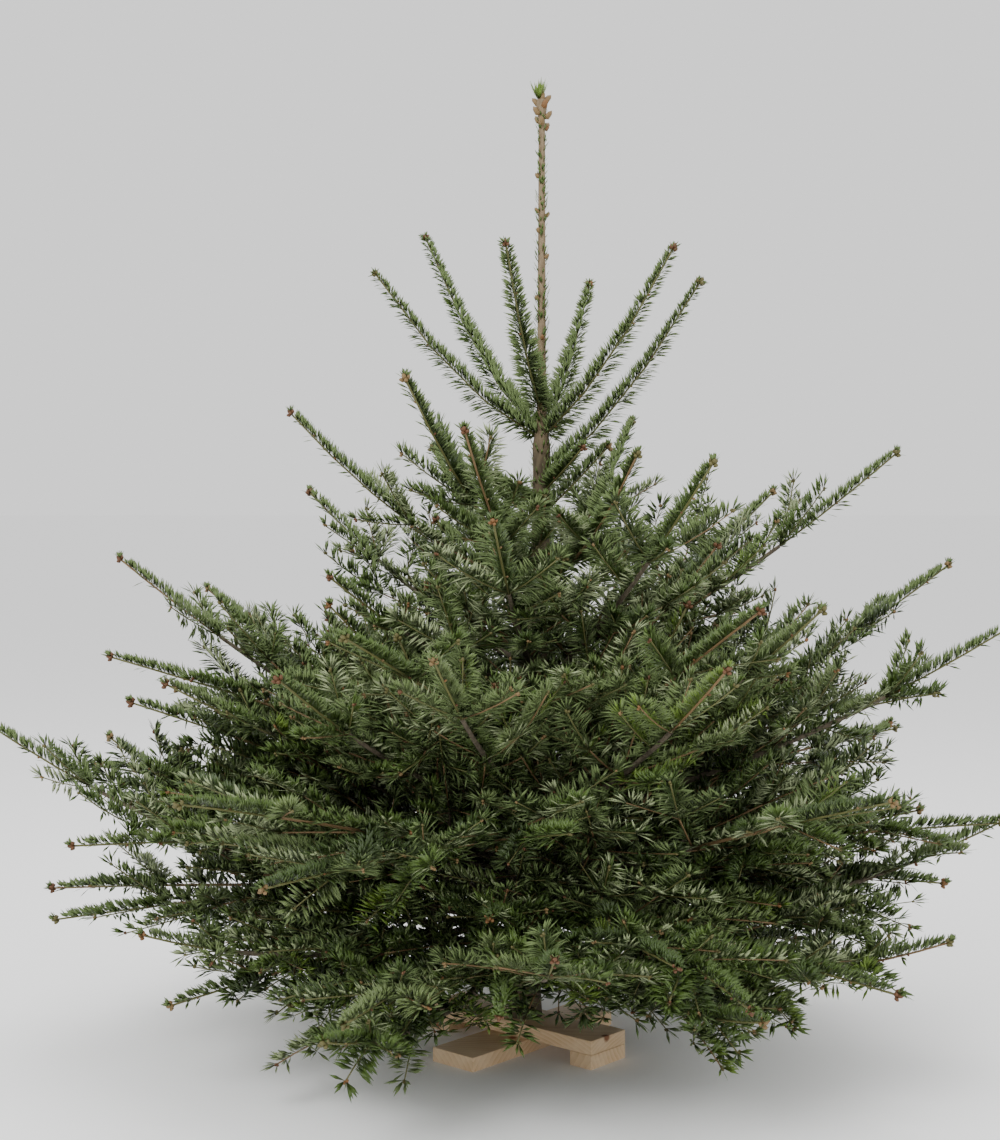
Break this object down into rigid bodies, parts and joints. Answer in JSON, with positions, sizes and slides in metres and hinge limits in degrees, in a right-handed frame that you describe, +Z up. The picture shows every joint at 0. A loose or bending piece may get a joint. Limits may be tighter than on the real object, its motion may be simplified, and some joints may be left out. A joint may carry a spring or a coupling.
{
  "type": "christmas tree",
  "caption": "Small cut fir for Christmas, undecorated, with a bare leading shoot above whorls of upswept boughs, standing on a cross of pale wooden boards",
  "frame": {"origin": "under the middle of the stand, on the plane that its boards and foot blocks stand on", "axes": "+Z up along the trunk, +X to the right and +Y away for someone who faces the tree's front"},
  "size_m": [1.498, 1.3369, 1.45],
  "materials": {
    "bark": "grey-brown young bark, slightly rough, matt",
    "needles": "dark green needles with paler undersides, satin",
    "stand_wood": "planed untreated softwood, matt"
  },
  "bodies": {
    "root": {"bough_year5_1": "bark", "bough_year5_10": "bark", "bough_year5_11": "bark", "bough_year5_12": "bark", "bough_year5_2": "bark", "bough_year5_3": "bark", "bough_year5_4": "bark", "bough_year5_5": "bark", "bough_year5_6": "bark", "bough_year5_7": "bark", "bough_year5_8": "bark", "bough_year5_9": "bark", "foliage_year1_1": "needles", "foliage_year1_2": "needles", "foliage_year1_3": "needles", "foliage_year1_4": "needles", "foliage_year1_5": "needles", "foliage_year1_6": "needles", "foliage_year2_1": "needles", "foliage_year2_2": "needles", "foliage_year2_3": "needles", "foliage_year2_4": "needles", "foliage_year2_5": "needles", "foliage_year2_6": "needles", "foliage_year3_1": "needles", "foliage_year3_2": "needles", "foliage_year3_3": "needles", "foliage_year3_4": "needles", "foliage_year3_5": "needles", "foliage_year3_6": "needles", "foliage_year3_7": "needles", "foliage_year4_1": "needles", "foliage_year4_10": "needles", "foliage_year4_11": "needles", "foliage_year4_12": "needles", "foliage_year4_2": "needles", "foliage_year4_3": "needles", "foliage_year4_4": "needles", "foliage_year4_5": "needles", "foliage_year4_6": "needles", "foliage_year4_7": "needles", "foliage_year4_8": "needles", "foliage_year4_9": "needles", "foliage_year5_1": "needles", "foliage_year5_10": "needles", "foliage_year5_11": "needles", "foliage_year5_12": "needles", "foliage_year5_2": "needles", "foliage_year5_3": "needles", "foliage_year5_4": "needles", "foliage_year5_5": "needles", "foliage_year5_6": "needles", "foliage_year5_7": "needles", "foliage_year5_8": "needles", "foliage_year5_9": "needles", "stand_foot_back": "stand_wood", "stand_foot_front": "stand_wood", "stand_lower_board": "stand_wood", "stand_upper_board": "stand_wood", "trunk": "bark"}
  },
  "joints": []
}
